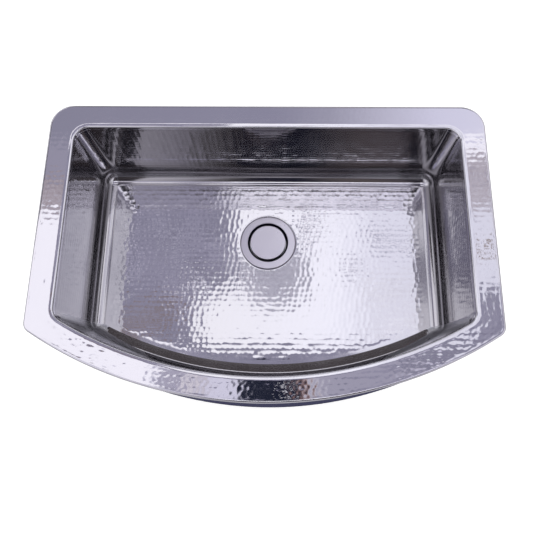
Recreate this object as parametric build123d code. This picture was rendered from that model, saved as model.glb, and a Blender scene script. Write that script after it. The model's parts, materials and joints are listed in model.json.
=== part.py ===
"""A hammered-metal farmhouse sink: bowed apron front, single bowl, basket-strainer drain.

Millimetres. +Z is up, +Y points to the back of the sink, +X to its right-hand side.
The origin is on the drain's axis, in the plane that the rim's turned-down edge rests on.
The hammered texture of the sheet is left out here: every wall is its mean surface.
"""
import os
from math import sqrt

from build123d import *

# ---------------------------------------------------------------- sheet-metal body
SHEET = 1.5                 # thickness of the rim, bowl and apron sheet
WIDTH = 838.0               # overall width, left to right
SIDE_LENGTH = 437.0         # straight side, from the back edge to the front corner
BOW = 122.0                 # how far the front's arc stands proud of its corners
DRAIN_TO_BACK = 208.0       # drain axis to the back edge of the rim
OUTER_BACK_CORNER = 44.0    # corner radii of the rim's outer outline
OUTER_FRONT_CORNER = 20.0

RIM_SIDE = 49.0             # width of the flat rim, from its outer edge to the bowl
RIM_BACK = 47.5
RIM_FRONT = 45.0
RIM_HEIGHT = 8.0            # height of the turned-down outer edge
EDGE_ROLL = 3.5             # outside radius of the rolled outer edge
LIP_ROLL = 4.0              # radius of the roll from the rim into the bowl
LIP_DEPTH = 10.0            # how far that roll reaches down before the bowl's wall begins

BOWL_DEPTH = 229.0          # rim top to bowl floor
BOWL_CORNER = 28.0          # upright corners of the bowl
COVE_MARGIN = 1.0           # how much tighter the floor's cove is than the upright corners
FRONT_LEAN = 11.5           # how far the front wall leans in between the lip and the floor

APRON_DROP = 25.0           # how far the apron reaches below the bowl's floor
APRON_RETURN = 75.0         # length of the side panels behind the front corner
APRON_FLANGE = 22.0         # width of the apron's bottom return
RETURN_FLANGE = 14.0        # width of the side panels' rear return
APRON_BEND = 3.0            # outside radius of the bend at the apron's bottom
TIE_WIDTH = 40.0
TIE_THICKNESS = 2.0
TIE_SPACING = 380.0         # between the two straps' centres
TIE_FOOT = 12.0             # length of each strap's welded end on the return
TIE_KNEE = 6.0              # how far it runs past the return before it bends up
TIE_HEEL = 4.0              # from the end of the cove to its bend under the bowl
TIE_PAD = 30.0              # length of its welded end under the bowl

PAD = 4.0                   # thickness of the sound pads
WALL_PAD_HEIGHT = 110.0
WALL_PAD_TOP_GAP = 45.0     # from the rim's resting plane to the top of the wall pads
SIDE_PAD_LENGTH = 220.0
BACK_PAD_LENGTH = 420.0
FRONT_PAD_LENGTH = 150.0
FLOOR_PAD = (200.0, 250.0)  # size of each pad under the floor, X and Y
FLOOR_PAD_OFFSET = 195.0    # drain axis to each floor pad's centre, left or right
FLOOR_PAD_FORWARD = 60.0    # floor pads' centre in front of the drain axis

# ---------------------------------------------------------------- drain
CUP_THREAD = 86.0           # outside diameter of the cup, where the locknut runs on it
CUP_WALL = 2.0
CUP_THREAD_LENGTH = 32.0
CUP_DEPTH = 52.0            # underside of the flange to the cup's floor, inside
CUP_TAPER = 8.0             # how far the cup narrows from its mouth to its floor
CUP_FLOOR = 2.5             # thickness of that floor
MOUTH_ROLL = 4.0            # radius of the roll from the flange into the cup
HOLE_PLAY = 2.0             # radial play of the cup in the bowl's hole
FLANGE = 120.0              # diameter of the strainer's visible flange
FLANGE_EDGE = 1.2           # its thickness at the rim
FLANGE_CROWN = 2.6          # its thickness next to the mouth
RECESS_DEPTH = 1.5          # stamped seat around the bowl's hole
RECESS_MARGIN = 4.0         # seat radius beyond the flange
RECESS_SLOPE = 3.0          # width of the sloping edge of the seat

CROSSBAR_DROP = 7.0         # cup floor to the top of the cross-bars
CROSSBAR = (3.0, 4.0)       # width and height of a cross-bar
HUB_WALL = 2.7
SPIGOT_LENGTH = 26.0
SPIGOT_WALL = 2.5
SPIGOT_STEP = 4.75          # how far its thread stands out beyond the tailpiece
OUTLET_BEVEL = (0.7, 1.5)   # width and depth of the bevel where the cup opens into the spigot

PUTTY = 1.0
PUTTY_MARGIN = (1.0, 2.0)   # from the hole to the putty, and from the putty to the flange's edge
GASKET = 3.5
GASKET_WIDTH = 14.0
FRICTION_WASHER = 0.8
WASHER_SET_BACK = 1.0       # friction washer inside the gasket's edge
THREAD_GAP = 0.3            # radial play drawn between a nut and its thread

LOCKNUT_HEIGHT = 14.0
LOCKNUT_WALL = 6.0
LOCKNUT_COLLAR = (3.0, 3.0)     # projection and height of the bearing collar at its top
LOCKNUT_LUGS = 8
LOCKNUT_LUG = (12.0, 5.0)   # width and projection of a lug

TAILPIECE = 38.1            # outside diameter
TAILPIECE_WALL = 1.2
TAILPIECE_LENGTH = 102.0
TAILPIECE_FLANGE = 1.5
WASHER_PLAY = 0.5           # washer and tailpiece flange inside the spigot's thread
COUPLING_WASHER = 2.0
COUPLING_HEIGHT = 20.0
COUPLING_WALL = 4.0
COUPLING_LIP = 3.0          # thickness of the inward lip that carries the tailpiece
LIP_PLAY = 0.8              # radial play of the tailpiece's tube in that lip
COUPLING_WINGS = 6
COUPLING_WING = (5.0, 4.0)  # width and projection of a grip
COUPLING_WING_INSET = 2.0   # grips end this far short of each face of the nut

# ---------------------------------------------------------------- basket and cap
BASKET_SHEET = 1.0
BASKET_PLAY = 1.2           # radial gap between the basket's lip and the cup
BASKET_TOP_DROP = 7.0       # flange underside to the top of the basket
BASKET_BEVEL = 2.5          # corner between its wall and its floor
BASKET_LIP = (3.2, 3.0)     # width and depth of its turned-over lip
SLOTS = 20
SLOT_WIDTH = 3.2
SLOT_MARGIN = (4.0, 6.0)    # from the basket's floor, and from its top
FLOOR_SLOTS = 8
FLOOR_SLOT = (12.0, 24.0)   # inner and outer end of a slot in the floor, from the post's axis

SEAT_GAP = 0.2              # drawn gap under the seal when the basket is home
SEAL = 4.0
SEAL_MARGIN = 3.5           # seal inside the edge of the cup's flat floor
SEAL_BEVEL = (3.0, 1.2)     # width and height of the bevel at its lower edge
BASKET_SET_BACK = 0.5       # basket's floor inside the seal's edge
SEAL_PLATE = (17.0, 1.2)    # radius, thickness
SEAL_NUT = (10.0, 3.0)      # across flats, height
POST = 4.0                  # radius of the post
POST_COLLAR = (3.0, 1.0)    # how far its foot spreads, and the height of that collar
POST_TOP_BEVEL = 1.0
STUD = 2.5                  # radius of the post below the basket's floor
STUD_TAIL = 14.0            # stud below the seal nut
CLIP_SHEET = 0.45
CLIP_SLIT = 0.8
CLIP_LENGTH = 7.0
CLIP_PLAY = 0.35            # radial gap between the clip and the hub it passes through

CAP_PLAY = 2.1              # how much smaller than the cup's bore the cap is, in radius
CAP_SHEET = 1.5
CAP_EDGE = 4.0              # depth of its turned-down edge
CAP_ROUND = 2.0             # radius of its rounded upper edge
CAP_ABOVE_FLANGE = 0.6
SOCKET_DEPTH = 9.0
SOCKET_WALL = 1.6
SOCKET_PLAY = 0.3
CAP_GAP = 0.1               # between the post's top and the cap's underside

# ---------------------------------------------------------------- radii worked out
COVE = BOWL_CORNER - COVE_MARGIN
BACK = DRAIN_TO_BACK
CORNER_Y = BACK - SIDE_LENGTH
FRONT_ARC = ((WIDTH / 2) ** 2 + BOW ** 2) / (2 * BOW)
ARC_CENTRE = CORNER_Y - BOW + FRONT_ARC
BOWL_X = WIDTH / 2 - RIM_SIDE
BOWL_BACK = BACK - RIM_BACK
BOWL_ARC = FRONT_ARC - RIM_FRONT
BOWL_CORNER_Y = ARC_CENTRE - sqrt(BOWL_ARC ** 2 - BOWL_X ** 2)

CUP = CUP_THREAD / 2
CUP_BORE = CUP - CUP_WALL
CUP_FLOOR_RADIUS = CUP_BORE - CUP_TAPER
MOUTH = CUP_BORE + MOUTH_ROLL
HOLE = CUP + HOLE_PLAY
SEAT = FLANGE / 2 + RECESS_MARGIN
TUBE = TAILPIECE / 2
TUBE_BORE = TUBE - TAILPIECE_WALL
SPIGOT = TUBE + SPIGOT_STEP
SPIGOT_BORE = SPIGOT - SPIGOT_WALL
CLIP = STUD + CLIP_SHEET
HUB_BORE = CLIP + CLIP_PLAY
SEAL_RADIUS = CUP_FLOOR_RADIUS - SEAL_MARGIN
BASKET_FOOT = SEAL_RADIUS - BASKET_SET_BACK
CAP = CUP_BORE - CAP_PLAY

# ---------------------------------------------------------------- heights worked out
RIM_TOP = RIM_HEIGHT
DECK_UNDERSIDE = RIM_TOP - SHEET
SEAM = RIM_TOP - LIP_DEPTH                  # the bowl's wall starts here
FLOOR = RIM_TOP - BOWL_DEPTH                # bowl floor, inside
UNDERSIDE = FLOOR - SHEET
APRON_BOTTOM = FLOOR - APRON_DROP

FLANGE_UNDERSIDE = FLOOR - RECESS_DEPTH + PUTTY
FLANGE_TOP = FLANGE_UNDERSIDE + FLANGE_CROWN
CUP_FLOOR_TOP = FLANGE_UNDERSIDE - CUP_DEPTH
CROSSBAR_TOP = CUP_FLOOR_TOP - CROSSBAR_DROP
SPIGOT_BOTTOM = CUP_FLOOR_TOP - CUP_FLOOR - SPIGOT_LENGTH
GASKET_TOP = UNDERSIDE - RECESS_DEPTH
LOCKNUT_TOP = GASKET_TOP - GASKET - FRICTION_WASHER
TAILPIECE_TOP = SPIGOT_BOTTOM - COUPLING_WASHER
COUPLING_BOTTOM = TAILPIECE_TOP - TAILPIECE_FLANGE - COUPLING_LIP

SEAL_BOTTOM = CUP_FLOOR_TOP + SEAT_GAP
BASKET_FLOOR = SEAL_BOTTOM + SEAL           # underside of the basket
BASKET_TOP = FLANGE_UNDERSIDE - BASKET_TOP_DROP
SEAL_NUT_BOTTOM = SEAL_BOTTOM - SEAL_PLATE[1] - SEAL_NUT[1]
STUD_BOTTOM = SEAL_NUT_BOTTOM - STUD_TAIL
CAP_TOP = FLANGE_TOP + CAP_ABOVE_FLANGE
CAP_UNDERSIDE = CAP_TOP - CAP_SHEET
POST_TOP = CAP_UNDERSIDE - CAP_GAP


# ---------------------------------------------------------------- shared shapes
def plan(half_width, back, arc, back_corner, front_corner, z):
    """A sink outline: straight back and sides, bowed front, four rounded corners."""
    front = ARC_CENTRE - sqrt(arc ** 2 - half_width ** 2)
    with BuildSketch(Plane.XY.offset(z)) as sketch:
        with BuildLine():
            Polyline((half_width, front), (half_width, back), (-half_width, back), (-half_width, front))
            ThreePointArc((-half_width, front), (0, ARC_CENTRE - arc), (half_width, front))
        make_face()
        fillet([v for v in sketch.vertices() if v.Y > 0], back_corner)
        corners = [v for v in sketch.vertices() if v.Y < 0 and abs(abs(v.X) - half_width) < 0.01]
        fillet(corners, front_corner)
    return sketch.sketch


def rim_plan(grow, z):
    """The rim's outer outline, moved outwards by grow."""
    front_corner = max(OUTER_FRONT_CORNER + grow, SHEET)
    return plan(
        WIDTH / 2 + grow, BACK + grow, FRONT_ARC + grow, OUTER_BACK_CORNER + grow, front_corner, z,
    )


def bowl_plan(grow, z):
    """The bowl's inside outline above its leaning front wall, moved outwards by grow."""
    corner = BOWL_CORNER + grow
    return plan(BOWL_X + grow, BOWL_BACK + grow, BOWL_ARC + grow, corner, corner, z)


def prism(face, height):
    return extrude(face, amount=height, dir=(0, 0, 1))


def basin(grow):
    """The bowl's walls and floor as one solid block, grow outside its inner surface.

    The back and the sides are upright; the front is a cone about the centre of the rim's arc.
    """
    half_width, z = BOWL_X + grow, (FLOOR - grow, SEAM)
    depth, arc = SEAM - FLOOR + grow, BOWL_ARC + grow
    cone = Cone(arc - FRONT_LEAN * depth / (SEAM - FLOOR), arc, depth)
    block = slab((-half_width, half_width), (ARC_CENTRE - arc, BOWL_BACK + grow), z)
    block &= Pos(0, ARC_CENTRE, (z[0] + z[1]) / 2) * cone
    corners = [e for e in block.edges() if abs((e @ 0).Z - (e @ 1).Z) > depth / 2]
    block = fillet(corners, BOWL_CORNER + grow)
    return fillet(block.edges().group_by(Axis.Z)[0], COVE + grow)


def slab(x, y, z):
    """A box between three pairs of limits."""
    return Pos((x[0] + x[1]) / 2, (y[0] + y[1]) / 2, (z[0] + z[1]) / 2) * Box(
        x[1] - x[0], y[1] - y[0], z[1] - z[0]
    )


def ring(outer, inner, bottom, top):
    """A plain ring about the drain's axis, or a disc where the inner radius is 0."""
    piece = Cylinder(outer, top - bottom)
    if inner:
        piece -= Cylinder(inner, top - bottom)
    return Pos(0, 0, (bottom + top) / 2) * piece


def turned(*points):
    """A solid turned about the drain's axis from corner points (radius, height)."""
    return revolve(Plane.XZ * make_face(Polyline(*points, close=True)), Axis.Z)


def bend_middle(radius):
    """How far inside its corner a rounding's middle lies, where two bevels stand for it."""
    return (1 - sqrt(0.5)) * radius


def around(count, piece, radius=0.0):
    """Copies of a piece spaced evenly about the drain's axis."""
    step = 360 / count
    return [Rot(0, 0, step * i) * Pos(radius, 0, 0) * piece for i in range(count)]


# ---------------------------------------------------------------- sheet-metal body
def edges_on(solid, z, outline):
    """The edges of a solid at height z that lie on an outline."""
    border = outline.face().outer_wire()
    return [
        e for e in solid.edges()
        if abs(e.center().Z - z) < 0.01
        and abs((e @ 0).Z - z) < 0.01
        and border.distance_to(e @ 0.5) < 0.01
    ]


def bevel_inside(radius):
    """Size of the bevel that stands for the hidden inside of a bend with that outside radius."""
    return (2 - sqrt(2)) * (radius - SHEET)


def make_rim_deck():
    """The flat rim with its rolled outer edge, and the collar that rolls down into the bowl."""
    deck = prism(rim_plan(0, DECK_UNDERSIDE), SHEET)
    edge = prism(rim_plan(0, 0), DECK_UNDERSIDE) - prism(rim_plan(-SHEET, 0), DECK_UNDERSIDE)
    collar = prism(bowl_plan(SHEET, SEAM), DECK_UNDERSIDE - SEAM)
    body = deck + edge + collar - prism(bowl_plan(0, SEAM), LIP_DEPTH)
    body = fillet(edges_on(body, RIM_TOP, rim_plan(0, RIM_TOP)), EDGE_ROLL)
    body = fillet(edges_on(body, RIM_TOP, bowl_plan(0, RIM_TOP)), LIP_ROLL)
    edge_inside, lip_inside = rim_plan(-SHEET, DECK_UNDERSIDE), bowl_plan(SHEET, DECK_UNDERSIDE)
    body = chamfer(edges_on(body, DECK_UNDERSIDE, edge_inside), bevel_inside(EDGE_ROLL))
    return chamfer(edges_on(body, DECK_UNDERSIDE, lip_inside), bevel_inside(LIP_ROLL))


def make_bowl():
    """Walls and floor in one sheet, with the drain's seat stamped down around its hole."""
    shell = basin(SHEET) - basin(0)
    edge = SEAT + RECESS_SLOPE
    dish = turned(
        (HOLE, FLOOR - RECESS_DEPTH), (SEAT, FLOOR - RECESS_DEPTH), (edge, FLOOR),
        (edge, UNDERSIDE), (SEAT, GASKET_TOP), (HOLE, GASKET_TOP),
    )
    return shell - ring(edge, 0, UNDERSIDE - SHEET, FLOOR + SHEET) + dish


def apron_sheet():
    """The apron and its two side panels as one bent sheet with a bottom return."""
    height = DECK_UNDERSIDE - APRON_BOTTOM
    outline, lining = rim_plan(-SHEET, APRON_BOTTOM), rim_plan(-2 * SHEET, APRON_BOTTOM + SHEET)
    block, core = prism(outline, height), prism(lining, height)
    block = fillet(edges_on(block, APRON_BOTTOM, outline), APRON_BEND)
    core = chamfer(edges_on(core, APRON_BOTTOM + SHEET, lining), bevel_inside(APRON_BEND))
    window = prism(rim_plan(-SHEET - APRON_FLANGE, APRON_BOTTOM - SHEET), 3 * SHEET)
    top = prism(rim_plan(0, RIM_TOP - EDGE_ROLL), EDGE_ROLL)
    return block - core - window - top


def make_apron():
    """The bowed front with its bent corners, and the flat panel at each side."""
    sheet = apron_sheet()
    bend_end = CORNER_Y + OUTER_FRONT_CORNER
    back_end = CORNER_Y + APRON_RETURN
    tall = (APRON_BOTTOM, RIM_TOP)
    front = sheet & slab((-WIDTH, WIDTH), (-2 * WIDTH, bend_end), tall)
    right = sheet & slab((0, WIDTH), (bend_end, back_end), tall)
    outside = WIDTH / 2 - SHEET
    return_x = (outside - SHEET - RETURN_FLANGE, outside - SHEET / 2)
    right += slab(return_x, (back_end - SHEET, back_end), (APRON_BOTTOM + SHEET / 2, 0))
    return front, mirror(right, Plane.YZ), right


def make_ties():
    """Straps from the top of the apron's return, up and back to the underside of the bowl."""
    low, high = APRON_BOTTOM + SHEET, UNDERSIDE
    thick, slant = TIE_THICKNESS, TIE_THICKNESS / 2
    straps = []
    for x in (-TIE_SPACING / 2, TIE_SPACING / 2):
        lip = ARC_CENTRE - sqrt((FRONT_ARC - SHEET - APRON_FLANGE) ** 2 - x ** 2)
        cove = ARC_CENTRE - sqrt((BOWL_ARC - FRONT_LEAN - COVE) ** 2 - x ** 2)
        foot, knee, heel = lip - TIE_FOOT, lip + TIE_KNEE, cove + TIE_HEEL
        end = heel + TIE_PAD
        side = Polyline(
            (foot, low), (knee, low), (heel, high - thick), (end, high - thick), (end, high),
            (heel - slant, high), (knee - slant, low + thick), (foot, low + thick), close=True,
        )
        plane = Plane(origin=(x - TIE_WIDTH / 2, 0, 0), x_dir=(0, 1, 0), z_dir=(1, 0, 0))
        straps.append(extrude(plane * make_face(side), amount=TIE_WIDTH))
    return straps


def make_wall_pads():
    """Pads on the outside of each wall; the front one follows its curve and its lean."""
    layer = basin(SHEET + PAD) - basin(SHEET)
    z = (-WALL_PAD_TOP_GAP - WALL_PAD_HEIGHT, -WALL_PAD_TOP_GAP)
    middle = (BOWL_BACK + BOWL_CORNER_Y) / 2
    side_x = (BOWL_X, WIDTH / 2)
    side_y = (middle - SIDE_PAD_LENGTH / 2, middle + SIDE_PAD_LENGTH / 2)
    back_y = (BOWL_BACK, BACK)
    front_y = (ARC_CENTRE - FRONT_ARC, CORNER_Y)
    right = layer & slab(side_x, side_y, z)
    left = mirror(right, Plane.YZ)
    back = layer & slab((-BACK_PAD_LENGTH / 2, BACK_PAD_LENGTH / 2), back_y, z)
    front = layer & slab((-FRONT_PAD_LENGTH / 2, FRONT_PAD_LENGTH / 2), front_y, z)
    return left, right, back, front


def make_floor_pad(side):
    middle = side * FLOOR_PAD_OFFSET
    x = (middle - FLOOR_PAD[0] / 2, middle + FLOOR_PAD[0] / 2)
    y = (-FLOOR_PAD_FORWARD - FLOOR_PAD[1] / 2, -FLOOR_PAD_FORWARD + FLOOR_PAD[1] / 2)
    return slab(x, y, (UNDERSIDE - PAD, UNDERSIDE))


# ---------------------------------------------------------------- drain
def make_strainer_body():
    """Crowned flange, cup and threaded spigot in one turning, with cross-bars and a hub inside."""
    outer, edge_top = FLANGE / 2, FLANGE_UNDERSIDE + FLANGE_EDGE
    roll = bend_middle(MOUTH_ROLL)
    thread_end = FLANGE_UNDERSIDE - CUP_THREAD_LENGTH
    cup_bottom = CUP_FLOOR_TOP - CUP_FLOOR
    foot = CUP_FLOOR_RADIUS + CUP_WALL
    bevel, bevel_depth = OUTLET_BEVEL
    body = turned(
        (MOUTH, FLANGE_TOP), (CUP_BORE + roll, FLANGE_TOP - roll),
        (CUP_BORE, FLANGE_TOP - MOUTH_ROLL), (CUP_BORE, thread_end),
        (CUP_FLOOR_RADIUS, CUP_FLOOR_TOP), (SPIGOT_BORE + bevel, CUP_FLOOR_TOP),
        (SPIGOT_BORE, CUP_FLOOR_TOP - bevel_depth), (SPIGOT_BORE, SPIGOT_BOTTOM),
        (SPIGOT, SPIGOT_BOTTOM), (SPIGOT, cup_bottom), (foot, cup_bottom), (CUP, thread_end),
        (CUP, FLANGE_UNDERSIDE), (outer, FLANGE_UNDERSIDE), (outer, edge_top),
    )
    width, height = CROSSBAR
    reach = 2 * SPIGOT_BORE + SPIGOT_WALL
    bars = Box(reach, width, height) + Box(width, reach, height)
    hub = Cylinder(HUB_BORE + HUB_WALL, height)
    bars = bars + hub - Cylinder(HUB_BORE, height)
    return body + Pos(0, 0, CROSSBAR_TOP - height / 2) * bars


def make_locknut():
    """A ring nut with a bearing collar and lugs to knock it round by."""
    bore = CUP + THREAD_GAP
    wall = bore + LOCKNUT_WALL
    bottom = LOCKNUT_TOP - LOCKNUT_HEIGHT
    spread, collar = LOCKNUT_COLLAR
    width, reach = LOCKNUT_LUG
    nut = ring(wall, bore, bottom, LOCKNUT_TOP)
    nut += ring(wall + spread, bore, LOCKNUT_TOP - collar, LOCKNUT_TOP)
    root = (bore + wall) / 2
    lug = slab((root, wall + reach), (-width / 2, width / 2), (bottom, LOCKNUT_TOP))
    return nut + around(LOCKNUT_LUGS, lug)


def make_coupling_nut():
    """A slip nut with grips and an inward lip that carries the tailpiece's flange."""
    bore, lip = SPIGOT + THREAD_GAP, TUBE + LIP_PLAY
    wall = bore + COUPLING_WALL
    top = COUPLING_BOTTOM + COUPLING_HEIGHT
    lip_top = COUPLING_BOTTOM + COUPLING_LIP
    width, reach = COUPLING_WING
    shell = turned(
        (lip, COUPLING_BOTTOM), (wall, COUPLING_BOTTOM), (wall, top),
        (bore, top), (bore, lip_top), (lip, lip_top),
    )
    grip_z = (COUPLING_BOTTOM + COUPLING_WING_INSET, top - COUPLING_WING_INSET)
    grip = slab(((bore + wall) / 2, wall + reach), (-width / 2, width / 2), grip_z)
    return shell + around(COUPLING_WINGS, grip)


def make_tailpiece():
    bottom, seat = TAILPIECE_TOP - TAILPIECE_LENGTH, TAILPIECE_TOP - TAILPIECE_FLANGE
    flange = SPIGOT - WASHER_PLAY
    return turned(
        (TUBE_BORE, bottom), (TUBE, bottom), (TUBE, seat), (flange, seat),
        (flange, TAILPIECE_TOP), (TUBE_BORE, TAILPIECE_TOP),
    )


# ---------------------------------------------------------------- basket and cap
def make_basket():
    """A pressed cup with a turned-over lip, and slots through its wall and its floor."""
    lip = CUP_BORE - BASKET_PLAY
    lip_width, lip_depth = BASKET_LIP
    neck, heel = lip - lip_width, BASKET_FOOT - BASKET_SHEET
    floor_top, lip_underside = BASKET_FLOOR + BASKET_SHEET, BASKET_TOP - BASKET_SHEET
    bevel = BASKET_BEVEL
    shell = turned(
        (0, BASKET_FLOOR), (BASKET_FOOT - bevel, BASKET_FLOOR), (BASKET_FOOT, BASKET_FLOOR + bevel),
        (neck + BASKET_SHEET, lip_underside), (lip - BASKET_SHEET, lip_underside),
        (lip - BASKET_SHEET, BASKET_TOP - lip_depth), (lip, BASKET_TOP - lip_depth),
        (lip, BASKET_TOP), (neck, BASKET_TOP), (heel, floor_top + bevel / 2),
        (heel - bevel / 2, floor_top), (0, floor_top),
    )
    across = (-SLOT_WIDTH / 2, SLOT_WIDTH / 2)
    slot_z = (floor_top + SLOT_MARGIN[0], BASKET_TOP - SLOT_MARGIN[1])
    below, above = BASKET_FLOOR - BASKET_SHEET, floor_top + BASKET_SHEET
    wall_slots = around(SLOTS, slab((heel - bevel, lip), across, slot_z))
    floor_slots = around(FLOOR_SLOTS, slab(FLOOR_SLOT, across, (below, above)))
    return shell - wall_slots - floor_slots - ring(STUD, 0, below, above)


def make_basket_post():
    """Stepped post: it carries the cap, stands on the basket's floor and hangs the seal below."""
    foot = BASKET_FLOOR + BASKET_SHEET
    spread, collar = POST_COLLAR
    return turned(
        (0, STUD_BOTTOM), (STUD, STUD_BOTTOM), (STUD, foot), (POST + spread, foot),
        (POST + spread, foot + collar), (POST, foot + collar),
        (POST, POST_TOP - POST_TOP_BEVEL), (POST - POST_TOP_BEVEL, POST_TOP), (0, POST_TOP),
    )


def make_seal():
    """The rubber stopper disc under the basket, with a bevelled lower edge."""
    bevel, bevel_height = SEAL_BEVEL
    return turned(
        (STUD, SEAL_BOTTOM), (SEAL_RADIUS - bevel, SEAL_BOTTOM),
        (SEAL_RADIUS, SEAL_BOTTOM + bevel_height), (SEAL_RADIUS, BASKET_FLOOR),
        (STUD, BASKET_FLOOR),
    )


def make_seal_nut():
    flats, height = SEAL_NUT
    hexagon = RegularPolygon(flats / 2, 6, major_radius=False) - Circle(STUD)
    return Pos(0, 0, SEAL_NUT_BOTTOM) * extrude(hexagon, amount=height)


def make_post_clip():
    """A split sleeve that springs into the hub below the cross-bars."""
    top = STUD_BOTTOM + CLIP_LENGTH
    slit = slab((0, 2 * CLIP), (-CLIP_SLIT / 2, CLIP_SLIT / 2), (STUD_BOTTOM, top))
    return ring(CLIP, STUD, STUD_BOTTOM, top) - slit


def make_cover_cap():
    """A flat disc with a rounded, turned-down edge and a socket that drops over the post."""
    inside, skirt = CAP - CAP_SHEET, CAP_TOP - CAP_EDGE
    socket = POST + SOCKET_PLAY
    socket_wall, socket_bottom = socket + SOCKET_WALL, CAP_UNDERSIDE - SOCKET_DEPTH
    bend = bend_middle(CAP_ROUND)
    return turned(
        (0, CAP_TOP), (CAP - CAP_ROUND, CAP_TOP), (CAP - bend, CAP_TOP - bend),
        (CAP, CAP_TOP - CAP_ROUND), (CAP, skirt), (inside, skirt), (inside, CAP_UNDERSIDE),
        (socket_wall, CAP_UNDERSIDE), (socket_wall, socket_bottom),
        (socket, socket_bottom), (socket, CAP_UNDERSIDE), (0, CAP_UNDERSIDE),
    )


# ---------------------------------------------------------------- the whole sink
def make_all():
    apron, return_left, return_right = make_apron()
    pad_left, pad_right, pad_back, pad_front = make_wall_pads()
    thread = CUP + THREAD_GAP
    gasket = thread + GASKET_WIDTH
    putty_inset, putty_set_back = PUTTY_MARGIN
    putty = (FLANGE / 2 - putty_set_back, HOLE + putty_inset)
    plate, plate_height = SEAL_PLATE
    return {
        "bowl": make_bowl(),
        "rim_deck": make_rim_deck(),
        "apron_front": apron,
        "apron_return_left": return_left,
        "apron_return_right": return_right,
        "apron_ties": make_ties(),
        "pad_wall_left": pad_left,
        "pad_wall_right": pad_right,
        "pad_wall_back": pad_back,
        "pad_wall_front": pad_front,
        "pad_floor_left": make_floor_pad(-1),
        "pad_floor_right": make_floor_pad(1),
        "strainer_body": make_strainer_body(),
        "putty_ring": ring(*putty, FLANGE_UNDERSIDE - PUTTY, FLANGE_UNDERSIDE),
        "body_gasket": ring(gasket, thread, GASKET_TOP - GASKET, GASKET_TOP),
        "friction_washer": ring(
            gasket - WASHER_SET_BACK, thread, LOCKNUT_TOP, LOCKNUT_TOP + FRICTION_WASHER
        ),
        "locknut": make_locknut(),
        "coupling_washer": ring(SPIGOT - WASHER_PLAY, TUBE_BORE, TAILPIECE_TOP, SPIGOT_BOTTOM),
        "coupling_nut": make_coupling_nut(),
        "tailpiece": make_tailpiece(),
        "basket": make_basket(),
        "basket_post": make_basket_post(),
        "basket_seal": make_seal(),
        "seal_plate": ring(plate, STUD, SEAL_BOTTOM - plate_height, SEAL_BOTTOM),
        "seal_nut": make_seal_nut(),
        "post_clip": make_post_clip(),
        "cover_cap": make_cover_cap(),
    }


def write(name, piece):
    """One STEP file per piece; a list of solids becomes one file that holds them all."""
    solids = [s for p in (piece if isinstance(piece, list) else [piece]) for s in p.solids()]
    export_step(solids[0] if len(solids) == 1 else Compound(solids), f"parts/{name}.step")


os.makedirs("parts", exist_ok=True)
for node, shape in make_all().items():
    write(node, shape)
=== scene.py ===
"""Looks of the hammered apron-front sink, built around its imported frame. Metres.

Fine meshes with real hammer marks cover the sheet's open faces. The metal is nearly a mirror, so
cards and blots of tone, which only reflections show, give the sink its tones.
"""
import json
from math import atan2, cos, pi, radians, sin, sqrt

import bpy
import numpy as np
from mathutils import Euler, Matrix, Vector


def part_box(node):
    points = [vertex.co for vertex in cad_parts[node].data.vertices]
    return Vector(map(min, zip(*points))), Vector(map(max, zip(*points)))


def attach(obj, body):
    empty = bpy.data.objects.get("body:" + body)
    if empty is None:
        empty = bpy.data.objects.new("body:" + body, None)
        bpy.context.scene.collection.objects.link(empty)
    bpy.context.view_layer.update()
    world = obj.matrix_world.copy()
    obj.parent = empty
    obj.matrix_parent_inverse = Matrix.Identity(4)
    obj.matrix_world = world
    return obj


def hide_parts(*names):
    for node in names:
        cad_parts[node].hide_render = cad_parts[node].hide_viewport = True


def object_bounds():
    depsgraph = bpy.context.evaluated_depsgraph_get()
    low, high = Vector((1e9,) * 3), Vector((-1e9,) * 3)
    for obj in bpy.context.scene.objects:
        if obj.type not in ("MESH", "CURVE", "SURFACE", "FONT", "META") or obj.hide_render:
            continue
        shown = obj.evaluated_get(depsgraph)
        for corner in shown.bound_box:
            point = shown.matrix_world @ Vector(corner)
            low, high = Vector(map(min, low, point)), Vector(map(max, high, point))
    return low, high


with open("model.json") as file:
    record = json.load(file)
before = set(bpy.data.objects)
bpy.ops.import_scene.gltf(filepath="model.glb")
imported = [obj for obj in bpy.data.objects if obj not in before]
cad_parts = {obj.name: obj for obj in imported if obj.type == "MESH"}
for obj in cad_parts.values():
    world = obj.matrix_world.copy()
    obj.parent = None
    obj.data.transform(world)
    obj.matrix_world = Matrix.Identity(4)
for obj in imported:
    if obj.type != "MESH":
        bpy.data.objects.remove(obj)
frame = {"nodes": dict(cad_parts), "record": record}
cad_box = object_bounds()

# ---------------------------------------------------------------- sizes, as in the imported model
MM = 0.001
SHEET = 1.5 * MM            # thickness of the rim, bowl and apron
BOW = 122 * MM              # how far the front's arc stands proud of its corners
OUTER_CORNERS = (44 * MM, 20 * MM)      # back and front corner radii of the rim
RIM_FRONT = 45 * MM         # width of the rim in front
EDGE_ROLL = 3.5 * MM        # radius of the rim's rolled outer edge
LIP_ROLL = 4 * MM           # radius of the roll from the rim into the bowl
INNER_ROLL = 2 * MM         # the same two rolls on the sheet's underside, drawn as a chamfer
BOWL_CORNER = 28 * MM
COVE = 27 * MM              # radius of the turn from the bowl's walls to its floor
LEAN_MIDDLE = 15 * MM       # how far the front wall leans in at the floor, in its middle
LEAN_END = 5 * MM           # and at its ends
APRON_RETURN = 75 * MM      # length of the side panels behind the front corners
APRON_BEND = 3 * MM         # radius of the bend at the apron's bottom
FLANGE = 60 * MM            # radius of the drain's flange
FLANGE_MOUTH = 45 * MM      # radius at which the flange turns down into its cup
CAP = 38.95 * MM            # radius of the cap's face

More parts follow.
